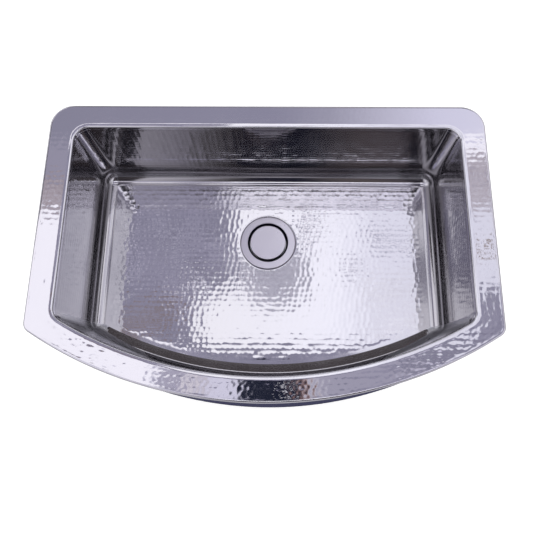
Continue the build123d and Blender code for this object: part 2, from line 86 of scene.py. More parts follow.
RIM_LOW, RIM_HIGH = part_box("rim_deck")
BOWL_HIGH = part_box("bowl")[1]
APRON_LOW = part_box("apron_front")[0]
HALF_WIDTH, BACK, FRONT, TOP = RIM_HIGH.x, RIM_HIGH.y, RIM_LOW.y, RIM_HIGH.z
SEAM = RIM_LOW.z            # where the rim's lip meets the bowl
BOWL_X, BOWL_BACK = BOWL_HIGH.x - SHEET, BOWL_HIGH.y - SHEET
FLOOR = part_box("pad_floor_left")[1].z + SHEET
FLANGE_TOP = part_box("strainer_body")[1].z
CAP_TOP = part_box("cover_cap")[1].z
ARC = (HALF_WIDTH ** 2 + BOW ** 2) / (2 * BOW)      # radius of the rim's front arc
ARC_Y = FRONT + ARC         # and its centre
BOWL_ARC = ARC - RIM_FRONT  # radius of the bowl's front arc at the seam

# ---------------------------------------------------------------- the hammered surface
STEP = 2 * MM               # spacing of the meshes that carry the hammer marks
SIDE_RUN = 310 * MM         # rough lengths of a side and of the front, for their meshes' counts
FRONT_RUN = 742 * MM
CORNER_TURNS = (1.6, 1.1)   # rough turns of the bowl's back and front corners, in radians
DECK_SPANS = 21             # spans of the mesh across the deck
MARK = 10.6 * MM            # spacing of the marks along a row
MARK_ROW = 11 * MM          # spacing of the rows
RIM_MARK = 10 * MM          # both spacings on the rim
MARK_DEPTH = 0.2 * MM       # depth of the marks in the bowl, on the rim and on the apron
RIM_MARK_DEPTH = 0.16 * MM
APRON_MARK_DEPTH = 0.26 * MM
DECK_LEVEL = 1.25           # the deck's level, in the marks' heights, from which dents go down
RIM_CALM = 0.65             # how much of their depth the marks lose along the back of the rim
CALM_BAND = (BACK - 75 * MM, BACK - 50 * MM)        # where that loss sets in
SEEDS = {"rim": 11, "walls": 23, "floor": 37, "apron": 41}      # of the marks' draws
RIDGE = 11                  # how narrow the ridges between the marks are
WANDER = 0.085              # spread of a mark's place, as a part of the spacing
FORCE = (0.65, 1.15)        # weakest and strongest blow
ROW_SHIFT = (0.22, 0.16)    # mean and spread of each row's shift against the one before it
ROW_STRETCH = 0.012         # spread of the rows' own spacings
SPARE = 60                  # marks drawn beyond both ends of a row, for its shift and stretch
WAVES = 7                   # slow waves that hand hammering leaves in a sheet
WAVE_LENGTH = (28 * MM, 60 * MM)
WAVE_HEIGHT = 0.05          # as a part of a mark's depth

# two distances between which the marks grow from nothing to their full depth
EDGE_FADE = (0, 5 * MM)     # on the deck, from the rim's outer roll
LIP_FADE = (2 * MM, 9 * MM)             # and from its roll into the bowl
SEAM_FADE = (3 * MM, 9 * MM)            # on the walls, from the seam
CORNER_FADE = (0, 9 * MM)   # from the corners
COVE_FADE = (-2 * MM, 4 * MM)           # and from the coves
FLOOR_FADE = (7 * MM, 14 * MM)          # on the floor, from the coves
HOLE_FADE = (0, 4 * MM)     # and from the hole round the drain
APRON_FADE = (2 * MM, 8 * MM)           # on the apron, from the skin's border

LIP_DROP = 0.25 * MM        # how far the deck dips just before its roll into the bowl
LIP_DIP = (0, 4 * MM)       # distances from that roll between which the dip runs out
LIFT = 0.35 * MM            # how far a hammered skin stands off its sheet
LIFT_FADE = (0, 2 * MM)     # depths below the seam between which the walls' skins lift off
TUCK = -0.2 * MM            # the apron skin's border, let into the sheet
TUCK_WIDTH = 0.5 * MM       # the width of that border
APRON_TOP = -0.4 * MM       # height of the apron skin's upper border
CREASE = radians(44)        # the front's cove starts with a flat of this part of its turn
CREASE_FADE = (0, 15 * MM)  # distances from the front corners between which the flat sets in
SKIN_HOLE = FLANGE + 3.5 * MM           # radius of the floor skin's hole round the drain
SNAP = 0.6 * STEP           # points this near to the hole's edge move onto it, those inside it go


def hammer_marks(s, t, seed, size=MARK, rows=MARK_ROW):
    """Height of round dents in rows along s, with narrow ridges between them.

    It is about 0 in a dent's middle and 1 between four of them. The draws are laid out over the
    range of s and t in one call, so calls for other ranges don't continue each other's marks.
    """
    row = np.floor(t / rows).astype(int)
    first_row = row.min() - 2
    first_mark = int(np.floor(s.min() / size)) - SPARE
    draw = np.random.default_rng(seed)
    shape = (int(np.ceil(s.max() / size)) + SPARE - first_mark, row.max() - first_row + 4)
    shift = draw.normal(0, WANDER, (2, *shape))
    force = draw.uniform(*FORCE, shape)
    row_shift = np.cumsum(draw.normal(*ROW_SHIFT, shape[1])) % 1
    row_stretch = draw.normal(1, ROW_STRETCH, shape[1])
    total = np.zeros(np.broadcast(s, t).shape)
    for next_row in (-1, 0, 1):
        b = row + next_row - first_row
        along = s * row_stretch[b] / size - row_shift[b]
        mark = np.floor(along).astype(int)
        for next_mark in (-1, 0, 1):
            a = mark + next_mark - first_mark
            x = along - (mark + next_mark + 0.5 + shift[0][a, b])
            y = t / rows - (row + next_row + 0.5 + shift[1][a, b])
            total += np.exp(RIDGE * force[a, b] * (1 - 2 * (x * x + y * y)))
    return 1 - np.log(total) / RIDGE + unevenness(s, t, draw)


def unevenness(s, t, draw):
    """The slow waves, as a part of a mark's depth."""
    total = 0
    for _ in range(WAVES):
        angle = draw.uniform(0, pi)
        length = draw.uniform(*WAVE_LENGTH)
        phase = draw.uniform(0, 2 * pi)
        total = total + np.sin((s * cos(angle) + t * sin(angle)) * 2 * pi / length + phase)
    return WAVE_HEIGHT * total


def fade(distance, start, end):
    """0 before start, 1 beyond end, and a smooth step between them."""
    u = np.clip((distance - start) / (end - start), 0, 1)
    return u * u * (3 - 2 * u)


# ---------------------------------------------------------------- outlines
def line(a, b, n):
    """n points from a towards b, without b, and the direction to the left of the way."""
    a, b = np.array(a), np.array(b)
    way = b - a
    points = a + np.arange(n)[:, None] / n * way
    left = np.array([-way[1], way[0]]) / np.hypot(*way)
    return points, np.repeat(left[None], n, 0)


def arc(centre, radius, start, end, n):
    """n points from the start angle towards the end angle, without it, and their outward directions."""
    a = start + (end - start) * np.arange(n) / n
    out = np.stack([np.cos(a), np.sin(a)], 1)
    return np.array(centre) + radius * out, out


def outline(half, back, front_radius, centre_y, corners, counts):
    """Clockwise outline from the back's left end: points, outward directions and side numbers.

    Sides 0 to 7 are back, corner, right, corner, front, corner, left and corner.
    """
    rb, rf = corners
    n_back, n_back_corner, n_side, n_front_corner, n_front = counts
    corner_y = centre_y - sqrt((front_radius - rf) ** 2 - (half - rf) ** 2)
    turn = atan2(corner_y - centre_y, half - rf)
    sides = [
        line((rb - half, back), (half - rb, back), n_back),
        arc((half - rb, back - rb), rb, pi / 2, 0, n_back_corner),
        line((half, back - rb), (half, corner_y), n_side),
        arc((half - rf, corner_y), rf, 0, turn, n_front_corner),
        arc((0, centre_y), front_radius, turn, -pi - turn, n_front),
        arc((rf - half, corner_y), rf, -pi - turn, -pi, n_front_corner),
        line((-half, corner_y), (-half, back - rb), n_side),
        arc((rb - half, back - rb), rb, pi, pi / 2, n_back_corner),
    ]
    points = np.concatenate([p for p, _ in sides])
    out = np.concatenate([d for _, d in sides])
    side = np.concatenate([np.full(len(p), k) for k, (p, _) in enumerate(sides)])
    return points, out, side


def counts_for(step):
    """How many points each kind of side gets, the same for the rim and for the bowl at any depth."""
    back_run = 2 * BOWL_X - 2 * BOWL_CORNER
    back_corner, front_corner = (turn * BOWL_CORNER for turn in CORNER_TURNS)
    runs = (back_run, back_corner, SIDE_RUN, front_corner, FRONT_RUN)
    return [max(3, round(run / step)) for run in runs]


def bowl_front(depth):
    """Centre and radius of the bowl's front arc at a depth, 0 at the lip's seam and 1 at the floor."""
    middle = ARC_Y - BOWL_ARC + LEAN_MIDDLE * depth
    end = ARC_Y - sqrt(BOWL_ARC ** 2 - BOWL_X ** 2) + LEAN_END * depth
    radius = (BOWL_X ** 2 + (end - middle) ** 2) / (2 * (end - middle))
    return middle + radius, radius


def bowl_outline(z, counts):
    """The bowl's inner outline at a height."""
    centre_y, radius = bowl_front((SEAM - z) / (SEAM - FLOOR))
    return outline(BOWL_X, BOWL_BACK, radius, centre_y, (BOWL_CORNER, BOWL_CORNER), counts)


def rim_outline(counts):
    return outline(HALF_WIDTH, BACK, ARC, ARC_Y, OUTER_CORNERS, counts)


# ---------------------------------------------------------------- meshes
def loop(base, out, grow, z):
    """An outline moved outwards by grow, at height z. Both may differ from point to point."""
    grow = np.broadcast_to(grow, len(base))[:, None]
    return np.column_stack([base + grow * out, np.broadcast_to(z, len(base))])


def grid_faces(rows, columns, wrap_rows=False, wrap_columns=False):
    i = np.arange(rows if wrap_rows else rows - 1)[:, None]
    j = np.arange(columns if wrap_columns else columns - 1)[None]
    i2, j2 = (i + 1) % rows, (j + 1) % columns
    corners = (i * columns + j, i * columns + j2, i2 * columns + j2, i2 * columns + j)
    return np.stack(np.broadcast_arrays(*corners), -1).reshape(-1, 4)


def add_object(name, points, faces, material):
    mesh = bpy.data.meshes.new(name)
    mesh.from_pydata(points, [], faces)
    mesh.materials.append(material)
    piece = bpy.data.objects.new(name, mesh)
    bpy.context.scene.collection.objects.link(piece)
    return piece


def make_piece(name, points, faces, material, body, flip=False, angle=None):
    """A smooth piece of the sink. Its edges sharper than angle stay sharp."""
    faces = faces[:, ::-1] if flip else faces
    piece = add_object(name, np.asarray(points).reshape(-1, 3).tolist(), faces.tolist(), material)
    mesh = piece.data
    mesh.validate()
    mesh.polygons.foreach_set("use_smooth", np.ones(len(mesh.polygons), bool))
    if angle:
        mesh.set_sharp_from_angle(angle=angle)
    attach(piece, body)
    return piece


def lathe(name, profile, material, body, segments=160):
    """A turned piece about the drain's axis. Its profile is (radius, z), outwards on its upper side."""
    a = 2 * pi * np.arange(segments) / segments
    r, z = np.array(profile).T
    rings = [r[:, None] * np.cos(a), r[:, None] * np.sin(a), np.repeat(z[:, None], segments, 1)]
    faces = grid_faces(len(profile), segments, False, True)
    return make_piece(name, np.stack(rings, -1), faces, material, body, False, radians(35))


def shoulder(x, z, radius, start, n, side=1):
    """n profile points round a quarter turn down about (x, z), from start radians past its top.

    The turn goes down outwards, or inwards where side is -1.
    """
    turn = np.linspace(start, pi / 2, n)
    return [(x + side * radius * sin(t), z + radius * cos(t)) for t in turn]


# ---------------------------------------------------------------- materials
def new_material(name, color, metallic, roughness):
    material = bpy.data.materials.new(name)
    material.use_nodes = True
    nodes, links = material.node_tree.nodes, material.node_tree.links
    shader = nodes["Principled BSDF"]
    shader.inputs["Base Color"].default_value = (*color, 1)
    shader.inputs["Metallic"].default_value = metallic
    shader.inputs["Roughness"].default_value = roughness
    return material, nodes, links, shader


def object_place(nodes, links, scale=(1, 1, 1)):
    place = nodes.new("ShaderNodeTexCoord")
    mapping = nodes.new("ShaderNodeMapping")
    mapping.inputs["Scale"].default_value = scale
    links.new(place.outputs["Object"], mapping.inputs["Vector"])
    return mapping.outputs["Vector"]


def noise(nodes, links, vector, scale, detail, rough):
    node = nodes.new("ShaderNodeTexNoise")
    node.inputs["Scale"].default_value = scale
    node.inputs["Detail"].default_value = detail
    node.inputs["Roughness"].default_value = rough
    links.new(vector, node.inputs["Vector"])
    return node.outputs["Fac"]


def spread(nodes, links, value, low, high, from_low=0.3, from_high=0.7):
    """Maps a value from its range, by default the one that noise mostly has, to low and high."""
    node = nodes.new("ShaderNodeMapRange")
    node.inputs["From Min"].default_value = from_low
    node.inputs["From Max"].default_value = from_high
    node.inputs["To Min"].default_value = low
    node.inputs["To Max"].default_value = high
    links.new(value, node.inputs["Value"])
    return node.outputs["Result"]


def add_bump(nodes, links, shader, height, strength, distance):
    bump = nodes.new("ShaderNodeBump")
    bump.inputs["Strength"].default_value = strength
    bump.inputs["Distance"].default_value = distance
    links.new(height, bump.inputs["Height"])
    links.new(bump.outputs["Normal"], shader.inputs["Normal"])


def metal(name, color, roughness, grain=(1, 1, 1), scale=900, bump=0.04):
    """Worn metal: roughness varies softly, and fine rubbing marks break up its gloss."""
    material, nodes, links, shader = new_material(name, color, 1.0, roughness[0])
    soft = noise(nodes, links, object_place(nodes, links), 14, 5, 0.6)
    links.new(spread(nodes, links, soft, *roughness), shader.inputs["Roughness"])
    fine = noise(nodes, links, object_place(nodes, links, grain), scale, 3, 0.6)
    add_bump(nodes, links, shader, fine, bump, 0.2 * MM)
    return material


def dull(name, color, roughness, scale=700, bump=0.25):
    """Rubber, putty or plastic with a fine moulded grain."""
    material, nodes, links, shader = new_material(name, color, 0.0, roughness[0])
    soft = noise(nodes, links, object_place(nodes, links), 40, 4, 0.6)
    links.new(spread(nodes, links, soft, *roughness), shader.inputs["Roughness"])
    grain = noise(nodes, links, object_place(nodes, links), scale, 3, 0.7)
    add_bump(nodes, links, shader, grain, bump, 0.4 * MM)
    return material


HAMMERED = metal("hammered_metal", (0.54, 0.53, 0.56), (0.035, 0.09))
# the walls' copy of the hammered metal is darker than the rest of the sheet: painted shade inside the
# bowl. It is also rougher
HAMMERED_WALL_SHADE = metal("hammered_wall_painted_shade", (0.38, 0.37, 0.39), (0.09, 0.14))
PLAIN_STEEL = metal("plain_steel_finish", (0.52, 0.52, 0.54), (0.25, 0.38), (1, 1, 12), 700, 0.15)
DRAIN = metal("drain_finish", (0.50, 0.48, 0.53), (0.26, 0.34), (1, 1, 1), 1200, 0.1)
# near-black metal in the drain's throat: painted shade in the gap round the cap
THROAT_SHADE = metal("drain_throat_painted_shade", (0.006, 0.005, 0.012), (0.4, 0.6))
BASKET = metal("basket_finish", (0.56, 0.56, 0.59), (0.16, 0.26), (1, 1, 10), 800, 0.1)
BRASS = metal("nut_finish", (0.58, 0.42, 0.20), (0.24, 0.40), (1, 1, 6), 500, 0.15)
SOUND_PAD = dull("sound_pad_finish", (0.035, 0.035, 0.04), (0.55, 0.75))
RUBBER = dull("rubber_finish", (0.02, 0.02, 0.02), (0.45, 0.65))
PLASTIC = dull("white_plastic_finish", (0.80, 0.80, 0.77), (0.35, 0.5), 500, 0.1)
PUTTY = dull("putty_finish", (0.40, 0.37, 0.31), (0.6, 0.8), 300, 0.4)

FINISHES = {
    "hammered_sheet": PLAIN_STEEL, "plain_steel": PLAIN_STEEL, "sound_pad": SOUND_PAD,
    "drain_metal": DRAIN, "basket_steel": BASKET, "nut_brass": BRASS, "black_rubber": RUBBER,
    "white_plastic": PLASTIC, "putty": PUTTY,
}


def paint_cad_nodes():
    slots = {row["node"]: row["material_slot"] for row in frame["record"]["subparts"]}
    for name, piece in frame["nodes"].items():
        piece.data.materials.clear()
        piece.data.materials.append(FINISHES[slots[name]])


# ---------------------------------------------------------------- rim, bowl and apron
def rim_edge(base, out):
    """Rows up the rim's turned-down edge and over its roll."""
    rows = [loop(base, out, 0, 0), loop(base, out, 0, (TOP - EDGE_ROLL) / 2)]
    for a in np.linspace(0, pi / 2, 6):
        rows.append(loop(base, out, -EDGE_ROLL * (1 - cos(a)), TOP - EDGE_ROLL * (1 - sin(a))))
    return rows


def rim_flat(start, end):
    """Rows across the deck, with the marks' dents and the dip before the lip."""
    rows = []
    for k in range(1, DECK_SPANS):
        p = start + (end - start) * k / DECK_SPANS
        from_edge = np.hypot(*(p - start).T)
        to_lip = np.hypot(*(p - end).T)
        mask = fade(from_edge, *EDGE_FADE) * fade(to_lip, *LIP_FADE)
        mask = mask * (1 - RIM_CALM * fade(p[:, 1], *CALM_BAND))
        marks = hammer_marks(p[:, 0], p[:, 1], SEEDS["rim"], RIM_MARK, RIM_MARK)
        dents = RIM_MARK_DEPTH * mask * (DECK_LEVEL - marks).clip(0, 2)
        dip = dents + LIP_DROP * (1 - fade(to_lip, *LIP_DIP))
        rows.append(np.column_stack([p, TOP - dip]))
    return rows


def rim_lip(base, out):
    """Rows over the roll into the bowl and down to the seam."""
    rows = []
    for a in np.linspace(0, pi / 2, 7):
        z = TOP - LIP_ROLL + (LIP_ROLL - LIP_DROP) * cos(a)
        rows.append(loop(base, out, LIP_ROLL * (1 - sin(a)), z))
    return [*rows, loop(base, out, 0, SEAM)]


def rim_underside(inner, outer):
    """Rows back along the sheet's underside to the foot of its outer edge."""
    under = TOP - SHEET
    return [
        loop(*inner, SHEET, SEAM),
        loop(*inner, SHEET, under - INNER_ROLL),
        loop(*inner, SHEET + INNER_ROLL, under),
        loop(*outer, -SHEET - INNER_ROLL, under),
        loop(*outer, -SHEET, under - INNER_ROLL),
        loop(*outer, -SHEET, 0),
    ]


def make_rim():
    """One closed sheet: turned-down edge, rolled edge, hammered deck, and the roll into the bowl."""
    counts = counts_for(STEP)
    outer, inner = rim_outline(counts)[:2], bowl_outline(SEAM, counts)[:2]
    start = outer[0] - EDGE_ROLL * outer[1]
    end = inner[0] + LIP_ROLL * inner[1]
    rows = rim_edge(*outer) + rim_flat(start, end) + rim_lip(*inner) + rim_underside(inner, outer)
    points = np.array(rows)
    faces = grid_faces(*points.shape[:2], True, True)
    piece = make_piece("rim_hammered", points, faces, HAMMERED, "sink", True, radians(50))
    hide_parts("rim_deck")


def distance_to_corners(along, side):
    """How far each point of a closed outline is from the nearest corner's points."""
    nearest = np.full(len(along), 1.0)
    for k in np.flatnonzero(side % 2 == 1):
        gap = np.abs(along - along[k])
        nearest = np.minimum(nearest, np.minimum(gap, along[-1] - gap))
    return nearest


def wall_rows(counts):
    """Rows down the bowl's walls to the coves, with the marks on their straight parts.

    It also gives how much of the front's flat each point has, and the outline's side numbers.
    """
    base, _, side = bowl_outline(SEAM, counts)
    steps = np.hypot(*(np.roll(base, -1, 0) - base).T)
    along = np.cumsum(steps) - steps
    to_corner = distance_to_corners(along, side)
    wall_end = FLOOR + COVE
    rows = []
    for z in np.linspace(SEAM, wall_end, round((SEAM - wall_end) / STEP) + 1):
        p, out, _ = bowl_outline(z, counts)
        mask = fade(to_corner, *CORNER_FADE) * fade(SEAM - z, *SEAM_FADE)
        mask = mask * fade(z - wall_end, *COVE_FADE)
        marks = hammer_marks(along, np.full(len(along), -z), SEEDS["walls"])
        lift = LIFT * fade(SEAM - z, *LIFT_FADE) + MARK_DEPTH * mask * marks
        rows.append(loop(p, out, -lift, z))
    at_front = (side == 4) * fade(to_corner, *CREASE_FADE)
    return rows, at_front, side


def cove_rows(counts, at_front):
    """Rows round the coves to the floor. The front's cove starts with a flat."""
    rows = []
    for a in np.linspace(0, pi / 2, round(COVE * pi / 2 / STEP) + 1)[1:]:
        z = FLOOR + COVE - COVE * sin(a)
        p, out, _ = bowl_outline(z, counts)
        flat = COVE * at_front * max(0, 1 - cos(CREASE / 2) / cos(a + CREASE / 2 - pi / 2))
        grow = -COVE * (1 - cos(a)) - (LIFT + flat) * cos(a)
        rows.append(loop(p, out, grow, z + (LIFT + flat) * sin(a)))
    return rows


def make_bowl_walls():
    """Hammered skins on the bowl's four walls, each with its half of the corners and its cove."""
    counts = counts_for(STEP)
    walls, at_front, side = wall_rows(counts)
    points = np.array(walls + cove_rows(counts, at_front))
    total = len(side)
    corners = [np.flatnonzero(side == k) for k in (7, 1, 3, 5, 7)]
    cuts = [corner[len(corner) // 2] for corner in corners]
    cuts[0] -= total
    for name, first, last in zip(("back", "right", "front", "left"), cuts, cuts[1:]):
        part = points[:, np.arange(first, last + 1) % total]
        faces = grid_faces(*part.shape[:2])
        # the walls take the darker copy of the metal, painted shade
        make_piece(f"bowl_wall_{name}", part, faces, HAMMERED_WALL_SHADE, "sink", True)


def make_bowl_floor():
    """The hammered floor, with a round hole beside the drain's flange."""
    half, back = BOWL_X - COVE, BOWL_BACK - COVE
    centre_y, radius = bowl_front(1)
    x = np.linspace(-half, half, round(2 * half / STEP) + 1)
    front = centre_y - np.sqrt((radius - COVE) ** 2 - x ** 2)
    v = np.linspace(0, 1, round((back - front.min()) / STEP) + 1)
    xs = np.repeat(x[None], len(v), 0)
    ys = front[None] + v[:, None] * (back - front)[None]
    from_drain = np.hypot(xs, ys)
    border = np.minimum.reduce([half - np.abs(xs), back - ys, ys - front[None]])
    from_hole = from_drain - SKIN_HOLE
    mask = fade(border, *FLOOR_FADE) * fade(from_hole, *HOLE_FADE)
    zs = FLOOR + LIFT + MARK_DEPTH * mask * hammer_marks(xs, ys, SEEDS["floor"])
    scale = np.where(np.abs(from_hole) < SNAP, SKIN_HOLE / np.maximum(from_drain, STEP), 1)
    points = np.stack([xs * scale, ys * scale, zs], -1).reshape(-1, 3)
    keep = np.hypot(points[:, 0], points[:, 1]) > SKIN_HOLE - 0.1 * MM
    faces = grid_faces(*xs.shape)
    faces = faces[keep[faces].all(1)]
    used = np.unique(faces)
    number = np.full(xs.size, -1)
    number[used] = np.arange(len(used))
    make_piece("bowl_floor", points[used], number[faces], HAMMERED, "sink")


def make_floor_ring():
    """The plain ring between the floor's hole and the flange, which turns down beside the flange."""
    level = FLOOR + LIFT
    ring = [(-1, -1.3), (0.5, -1.3), (0.8, -1.1), (1.1, -0.4), (1.35, -0.15), (1.7, -0.02), (5, -0.02)]
    profile = [(FLANGE + r * MM, level + z * MM) for r, z in ring]
    lathe("floor_ring", profile, HAMMERED, "sink")


def make_apron_skin():
    """The hammered face of the apron, round its corners and back along both side panels."""
    base, out, side = rim_outline(counts_for(STEP))
    chosen = (side >= 2) & (side <= 6) & (base[:, 1] < FRONT + BOW + APRON_RETURN)
    base, out = base[chosen], out[chosen]
    steps = np.hypot(*np.diff(base, axis=0).T)
    along = np.concatenate([[0], np.cumsum(steps)])
    to_end = np.minimum(along, along[-1] - along)
    low = APRON_LOW.z + APRON_BEND
    rows = []
    for z in np.linspace(APRON_TOP, low, round(-low / STEP) + 1):
        edge = np.minimum(to_end, min(-z, z - low))
        marks = hammer_marks(along, np.full(len(along), -z), SEEDS["apron"])
        rise = np.where(edge < TUCK_WIDTH, TUCK, LIFT)
        rise = rise + APRON_MARK_DEPTH * fade(edge, *APRON_FADE) * marks
        rows.append(loop(base, out, rise - SHEET, z))
    points = np.array(rows)
    make_piece("apron_skin", points, grid_faces(*points.shape[:2]), HAMMERED, "sink")


# ---------------------------------------------------------------- drain
def make_flange():
    """The flange's turned face: a low bead round its mouth, a slight slope, and a tight edge."""
    bead = [(-0.5, 0.02), (-0.4, 0.14), (-0.2, 0.2), (0.5, 0.2), (0.9, 0.12), (1.1, 0.1), (1.3, 0.1)]
    edge = 1.4 * MM
    edge_top = FLANGE_TOP - 0.31 * MM
    profile = [(FLANGE_MOUTH + r * MM, FLANGE_TOP + z * MM) for r, z in bead]
    profile += [(FLANGE - edge - 0.2 * MM, FLANGE_TOP - 0.3 * MM), (FLANGE - edge, edge_top)]
    profile += shoulder(FLANGE - edge, edge_top - edge, edge, 0.15, 7)
    profile.append((FLANGE - 0.02 * MM, FLANGE_TOP - 2.4 * MM))
    lathe("flange_face", profile, DRAIN, "sink")


def make_throat_shade():
    """The throat over the cup's roll below the flange's mouth, near black as painted shade in the gap
    round the cap.
    """
    roll = shoulder(FLANGE_MOUTH, FLANGE_TOP - 4 * MM, 4.1 * MM, 0.05, 12, -1)
    lathe("drain_throat_painted_shade", roll[::-1], THROAT_SHADE, "sink")


def make_cap():
    """The cap's flat face with a tight edge."""
    high = CAP_TOP + 0.03 * MM
    edge = 1.3 * MM
    profile = [(0.3 * MM, high), (37.5 * MM, high), (37.6 * MM, high)]
    profile += shoulder(CAP - edge, high - edge, edge, 0.15, 7)
    profile.append((CAP + 0.01 * MM, high - 2.63 * MM))
    lathe("cap_face", profile, DRAIN, "cover_cap")


# ---------------------------------------------------------------- studio: cards and their glow
CEILING = 2.0               # height of the cards
LEVEL = 0.01                # a card hangs lower by this for each level, and hides those above it
RAGGEDNESS = 0.12           # spread of a ragged edge's points, as a part of their spacing
SPOT_LEVEL, SPOT_SIDES = 4, 12          # of the small discs


def glow(name, color):
    material = bpy.data.materials.new(name)
    material.use_nodes = True
    nodes, links = material.node_tree.nodes, material.node_tree.links
    nodes.clear()
    light, out = nodes.new("ShaderNodeEmission"), nodes.new("ShaderNodeOutputMaterial")
    light.inputs["Color"].default_value = (*color, 1)
    links.new(light.outputs["Emission"], out.inputs["Surface"])
    return material


def toned_glow(name, factor, stops):
    """A glow whose colour follows the socket that factor makes. Stops are (its value, colour)."""
    material = glow(name, (1, 1, 1))
    nodes, links = material.node_tree.nodes, material.node_tree.links
    ramp = nodes.new("ShaderNodeValToRGB")
    peak = max(max(color) for _, color in stops)
    while len(ramp.color_ramp.elements) < len(stops):
        ramp.color_ramp.elements.new(0.5)
    for element, (place, color) in zip(ramp.color_ramp.elements, stops):
        element.position = place
        element.color = (*(c / peak for c in color), 1)
    links.new(factor(nodes, links), ramp.inputs["Fac"])
    light = next(n for n in nodes if n.type == "EMISSION")
    links.new(ramp.outputs["Color"], light.inputs["Color"])
    light.inputs["Strength"].default_value = peak
    return material


def glow_ramp(name, stops):
    """A glow whose colour changes along X. Stops are (x, colour)."""
    low, high = stops[0][0], stops[-1][0]

    def along_x(nodes, links):
        place, split = nodes.new("ShaderNodeTexCoord"), nodes.new("ShaderNodeSeparateXYZ")
        links.new(place.outputs["Object"], split.inputs[0])
        return spread(nodes, links, split.outputs["X"], 0, 1, low, high)

    return toned_glow(name, along_x, [((x - low) / (high - low), color) for x, color in stops])


def speckle(name, low, high, scale):
    """A glow broken up by noise between two colours."""
    def grain(nodes, links):
        fine = noise(nodes, links, object_place(nodes, links), scale, 2, 0.6)
        return spread(nodes, links, fine, 0, 1, 0.38, 0.62)

    return toned_glow(name, grain, [(0, low), (1, high)])


LAVENDER = speckle("lavender", (0.35, 0.34, 0.45), (0.50, 0.48, 0.63), 7)
BRIGHT = glow("soft_white", (1.62, 1.60, 1.70))
BROWN = glow("warm_brown", (0.34, 0.24, 0.17))
ROSE = speckle("rose_grey", (0.46, 0.38, 0.41), (0.82, 0.76, 0.84), 24)
DARK = glow("dark_far", (0.10, 0.095, 0.11))


def mirrored_piece(name, points, faces, material):
    """A piece of the studio that only reflections show."""
    piece = add_object(name, points, faces, material)
    piece.visible_camera = False
    piece.visible_diffuse = False
    piece.visible_shadow = False


def card(name, corners, material, level):
    """A flat card under the ceiling. Corners are (x, y)."""
    points = [(x, y, CEILING - LEVEL * level) for x, y in corners]
    mirrored_piece(name, points, [list(range(len(points)))], material)


def rectangle(x, y):
    return [(x[0], y[0]), (x[1], y[0]), (x[1], y[1]), (x[0], y[1])]


def disc(x, y, radius, n=40):
    return [(x + radius * cos(2 * pi * k / n), y + radius * sin(2 * pi * k / n)) for k in range(n)]


def ragged(points, size, seed):
    """A card's outline with its edges broken up: a point every size or so, moved a little."""
    draw = np.random.default_rng(seed)
    out = []
    for (x0, y0), (x1, y1) in zip(points, points[1:] + points[:1]):
        n = max(1, int(np.hypot(x1 - x0, y1 - y0) / size))
        for k in range(n):
            dx, dy = draw.normal(0, size * RAGGEDNESS, 2) if k else (0, 0)
            out.append((x0 + (x1 - x0) * k / n + dx, y0 + (y1 - y0) * k / n + dy))
    return out


def spots(name, x, y, count, radius, material, seed):
    """Small scattered discs. Each hammer mark near their reflection repeats them."""
    draw = np.random.default_rng(seed)
    for k in range(count):
        place = draw.uniform(x[0], x[1]), draw.uniform(y[0], y[1])
        card(f"{name}_{k}", disc(*place, draw.uniform(*radius), SPOT_SIDES), material, SPOT_LEVEL)


# ---------------------------------------------------------------- studio: what each part mirrors
def make_ceiling():
    """The ceiling, and the cards at its back and sides."""
    back = glow_ramp("card_back_tone", [
        (-1.4, (0.43, 0.42, 0.54)), (0.0, (0.45, 0.44, 0.58)), (0.3, (0.58, 0.57, 0.71)),
        (0.6, (0.86, 0.85, 1.02)), (0.9, (1.10, 1.09, 1.31)), (1.4, (1.22, 1.21, 1.42)),
    ])
    outer = speckle("outer_ceiling", (0.85, 0.84, 0.93), (1.7, 1.69, 1.78), 0.8)
    dark_back = glow("dark_brown_grey", (0.12, 0.105, 0.11))
    left_back = glow("left_back_tone", (0.52, 0.50, 0.63))
    left_white = [
        (-3, -0.45), (-0.5, -0.45), (-0.52, 0.0), (-0.98, 0.05), (-1.07, 0.17), (-1.06, 0.72), (-3, 0.72),
    ]
    card("outer", rectangle((-9, 9), (-9, 9)), outer, 0)
    card("ceiling", rectangle((-1.6, 1.6), (-0.86, 1.7)), LAVENDER, 1)
    card("dark_back", rectangle((-1.4, 1.4), (1.6, 2.6)), dark_back, 2)
    card("dark_left", rectangle((-3.0, -1.46), (0.72, 1.4)), DARK, 2)
    card("dark_right", rectangle((2.4, 3.4), (-0.3, 1.5)), DARK, 2)
    card("right_far", rectangle((1.46, 2.4), (-0.3, 1.5)), BRIGHT, 2)
    card("back", rectangle((-1.46, 1.46), (1.12, 1.6)), back, 2)
    card("back_light", ragged(rectangle((-1.06, 1.40), (1.06, 1.15)), 0.06, 13), BRIGHT, 3)
    card("left_back", rectangle((-1.46, -1.06), (0.9, 1.12)), left_back, 2)
    card("left_rose", ragged(rectangle((-1.46, -1.06), (0.72, 0.9)), 0.05, 3), ROSE, 2)
    card("right_rose", ragged(rectangle((0.99, 1.46), (0.74, 1.1)), 0.05, 3), ROSE, 2)
    card("left_white", ragged(left_white, 0.08, 4), BRIGHT, 2)


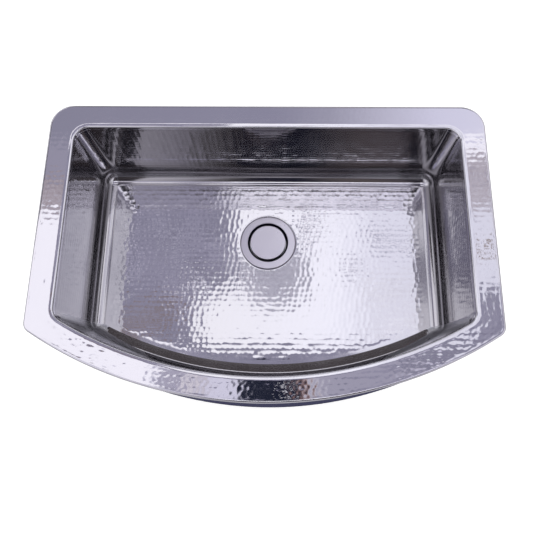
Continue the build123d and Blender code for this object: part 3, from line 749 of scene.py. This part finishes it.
def make_floor_cards():
    """What the bowl's floor mirrors: a white panel, a lavender disc, flecks and spots."""
    white = glow_ramp("panel_white", [
        (-0.45, (1.55, 1.54, 1.60)), (0.30, (1.62, 1.62, 1.74)),
        (0.60, (1.32, 1.32, 1.48)), (1.3, (1.2, 1.2, 1.36)),
    ])
    mottle = speckle("mottled_white", (0.75, 0.74, 0.86), (1.75, 1.74, 1.85), 38)
    pale = glow("pale_lavender", (0.72, 0.70, 0.86))
    panel = [
        (-0.24, 1.12), (-0.27, 0.92), (-0.24, 0.46), (-0.42, 0.34), (-0.50, 0.2), (-0.42, 0.03),
        (0.9, 0.03), (1.46, 0.1), (1.46, 1.12),
    ]
    flecks = [(-1.0, 0.22, 0.4), (-0.92, 0.13, 0.3), (-0.75, 0.27, 0.2), (-0.98, 0.08, 0.18)]
    fleck_width = 0.022
    card("panel_main", ragged(panel, 0.08, 5), white, 2)
    card("disc_middle", disc(-0.02, 0.49, 0.2), LAVENDER, 2)
    for k, (x, y, length) in enumerate(flecks):
        card(f"fleck_{k}", rectangle((x, x + length), (y, y + fleck_width)), BROWN, 3)
    card("mottle", ragged(rectangle((0.52, 0.96), (0.06, 0.46)), 0.06, 12), mottle, 2)
    spots("white_spots", (0.05, 1.3), (0.5, 1.05), 26, (0.018, 0.036), LAVENDER, 51)
    spots("lavender_spots", (-0.95, -0.3), (0.4, 1.0), 16, (0.015, 0.035), pale, 52)
    spots("bright_spots", (-0.95, -0.35), (0.05, 0.5), 6, (0.015, 0.03), BRIGHT, 53)


def make_front_cards():
    """What the front rim mirrors: a strip with a black patch, points of light, and spots."""
    front = glow_ramp("front_tone", [
        (-0.62, (1.3, 1.3, 1.5)), (-0.58, (0.62, 0.60, 0.75)), (-0.46, (0.64, 0.61, 0.77)),
        (-0.44, (1.3, 1.25, 1.32)), (-0.38, (0.85, 0.8, 0.9)), (-0.32, (1.1, 1.08, 1.28)),
        (-0.19, (1.12, 1.10, 1.30)), (-0.17, (0.02, 0.025, 0.05)), (0.11, (0.02, 0.025, 0.05)),
        (0.14, (0.4, 0.2, 0.15)), (0.18, (0.9, 0.88, 1.0)), (0.24, (0.6, 0.58, 0.72)),
        (0.6, (0.58, 0.56, 0.70)), (0.8, (1.05, 1.02, 1.22)), (1.0, (0.95, 0.93, 1.1)),
    ])
    grey = glow("grey_lavender", (1.08, 1.06, 1.22))
    right = [(0.86, -0.5), (1.46, -0.5), (1.46, 0.34), (1.05, 0.30)]
    card("front_strip", rectangle((-0.62, 1.0), (-0.50, -0.12)), front, 3)
    for k, (x, y) in enumerate([(-0.09, -0.36), (0.05, -0.22)]):
        card(f"front_point_{k}", disc(x, y, 0.016, 16), BRIGHT, 5)
    spots("front_spots", (-1.3, -0.2), (-0.5, -0.15), 16, (0.03, 0.07), grey, 54)
    spots("side_spots", (1.0, 1.5), (0.3, 0.75), 5, (0.02, 0.035), BROWN, 55)
    card("front_right", ragged(right, 0.07, 7), LAVENDER, 3)


def make_far_cards():
    """Beyond the front rim: what the back wall mirrors, and the floor by way of that wall."""
    far = glow_ramp("far_tone", [
        (-1.6, (0.98, 0.96, 1.22)), (-0.36, (1.05, 1.03, 1.30)), (-0.28, (2.9, 2.9, 3.1)),
        (0.0, (3.5, 3.5, 3.7)), (0.55, (3.2, 3.2, 3.5)), (0.85, (2.6, 2.6, 2.9)), (1.3, (2.0, 2.0, 2.2)),
    ])
    night = glow_ramp("night_tone", [
        (-2.2, (1.1, 1.1, 1.2)), (-1.0, (0.95, 0.93, 1.0)), (-0.6, (0.55, 0.53, 0.60)),
        (-0.5, (0.32, 0.31, 0.33)), (-0.35, (0.14, 0.13, 0.13)), (-0.24, (0.02, 0.02, 0.04)),
        (0.22, (0.015, 0.02, 0.04)), (0.32, (0.13, 0.12, 0.13)), (0.55, (0.20, 0.17, 0.17)),
        (0.85, (0.16, 0.14, 0.15)), (1.2, (0.05, 0.05, 0.08)), (2.2, (0.3, 0.3, 0.34)),
    ])
    night_light = glow("night_light_tone", (0.3, 0.25, 0.25))
    card("panel_far", rectangle((-1.6, 1.3), (-0.75, -0.50)), far, 2)
    card("night", rectangle((-1.6, 1.6), (-5.0, -0.75)), night, 2)
    card("night_light", ragged(rectangle((-0.2, -0.02), (-1.3, -1.12)), 0.05, 9), night_light, 3)


# ---------------------------------------------------------------- floor and surroundings
STUDIO_FLOOR = cad_box[0][2] - 0.5 * MM
BLOTS = cad_box[0][2] - 0.3 * MM        # level of the blots that the sink's outside mirrors
ROUND = 4.4                 # radius of the blots, and of the wall round them
ROUND_TOP = 2.2
ROUND_SIDES = 64
STRIP_REACH = 70 * MM       # how far the dark strip reaches before the front's middle, less at its ends
STRIP_BACK = 8 * MM         # and how far behind the front
STRIP_STEP = 12 * MM        # spacing of its mesh
FLOOR_HALF = 30.0           # half the width of the studio's floor
FLOOR_GLOW = 0.45           # its own glow, for the camera and in reflections


def make_surroundings():
    """Blots of tone on the floor and on a round wall, for the sink's outside to mirror."""
    blots = speckle("floor_blots", (0.30, 0.295, 0.34), (1.05, 1.04, 1.09), 2.2)
    ring = disc(0, 0, ROUND, ROUND_SIDES)
    floor = [(x, y, BLOTS) for x, y in ring]
    wall = floor + [(x, y, ROUND_TOP) for x, y in ring]
    mirrored_piece("floor_blots", floor, [list(range(ROUND_SIDES))], blots)
    faces = grid_faces(2, ROUND_SIDES, False, True).tolist()
    mirrored_piece("round_wall", wall, faces, blots)


def make_under_edge():
    """A dark strip on the floor along the front, which the front edge mirrors when seen from above."""
    near, out, side = rim_outline(counts_for(STRIP_STEP))
    near, out = near[side == 4], out[side == 4]
    reach = STRIP_REACH * np.sin(np.linspace(0, pi, len(near)))[:, None]
    edges = np.stack([near - STRIP_BACK * out, near + reach * out])
    points = [(x, y, BLOTS + 0.1 * MM) for x, y in edges.reshape(-1, 2)]
    faces = grid_faces(2, len(near)).tolist()
    mirrored_piece("under_edge", points, faces, glow("under_edge_tone", (0.06, 0.06, 0.11)))


def make_floor():
    """A pale floor that takes the sink's shadow. Its own glow brings it up to the background's white."""
    material, nodes, links, shader = new_material("floor_white", (0.85, 0.85, 0.85), 0.0, 0.9)
    shader.inputs["Specular IOR Level"].default_value = 0.0
    shader.inputs["Emission Color"].default_value = (1, 1, 1, 1)
    rays = nodes.new("ShaderNodeLightPath")
    either = nodes.new("ShaderNodeMath")
    either.operation = "ADD"
    links.new(rays.outputs["Is Camera Ray"], either.inputs[0])
    links.new(rays.outputs["Is Glossy Ray"], either.inputs[1])
    amount = nodes.new("ShaderNodeMath")
    amount.operation = "MULTIPLY"
    amount.inputs[1].default_value = FLOOR_GLOW
    links.new(either.outputs[0], amount.inputs[0])
    links.new(amount.outputs[0], shader.inputs["Emission Strength"])
    span = (-FLOOR_HALF, FLOOR_HALF)
    corners = [(x, y, STUDIO_FLOOR) for x, y in rectangle(span, span)]
    piece = add_object("studio_floor", corners, [(0, 1, 2, 3)], material)


def make_world():
    world = bpy.data.worlds.new("studio_world")
    bpy.context.scene.world = world
    world.use_nodes = True
    back = world.node_tree.nodes["Background"]
    back.inputs["Color"].default_value = (1, 1, 1, 1)
    back.inputs["Strength"].default_value = 1.0


# ---------------------------------------------------------------- camera, fitted to the photograph
SENSOR = 36                 # width of the camera's sensor, in millimetres
FOCAL = 595.47              # in pixels of the photograph's frame
FRAME_SIZE = 533            # the frame's width and height in pixels
LENS_AXIS = (274.95, 240.04)            # pixel that the lens's axis meets
CAMERA_PLACE = (33.9 * MM, -388.1 * MM, 1034.4 * MM)
CAMERA_TURN = (17.454, 2.695, -2.176)   # tilt about X, turn about Z, and roll, in degrees


def make_camera():
    data = bpy.data.cameras.new("camera")
    data.sensor_width = SENSOR
    data.lens = FOCAL / FRAME_SIZE * SENSOR
    data.shift_x = (FRAME_SIZE / 2 - LENS_AXIS[0]) / FRAME_SIZE
    data.shift_y = (LENS_AXIS[1] - FRAME_SIZE / 2) / FRAME_SIZE
    camera = bpy.data.objects.new("camera", data)
    bpy.context.scene.collection.objects.link(camera)
    tilt, turn, roll = (radians(a) for a in CAMERA_TURN)
    matrix = Euler((0, 0, turn)).to_matrix()
    matrix = matrix @ Euler((tilt, 0, 0)).to_matrix()
    matrix = matrix @ Euler((0, 0, roll)).to_matrix()
    camera.matrix_world = matrix.to_4x4()
    camera.location = CAMERA_PLACE
    bpy.context.scene.camera = camera


bpy.context.scene.view_settings.view_transform = "Standard"
paint_cad_nodes()
make_rim()
make_bowl_walls()
make_bowl_floor()
make_floor_ring()
make_apron_skin()
make_flange()
make_throat_shade()
make_cap()
make_ceiling()
make_floor_cards()
make_front_cards()
make_far_cards()
make_surroundings()
make_under_edge()
make_floor()
make_world()
make_camera()
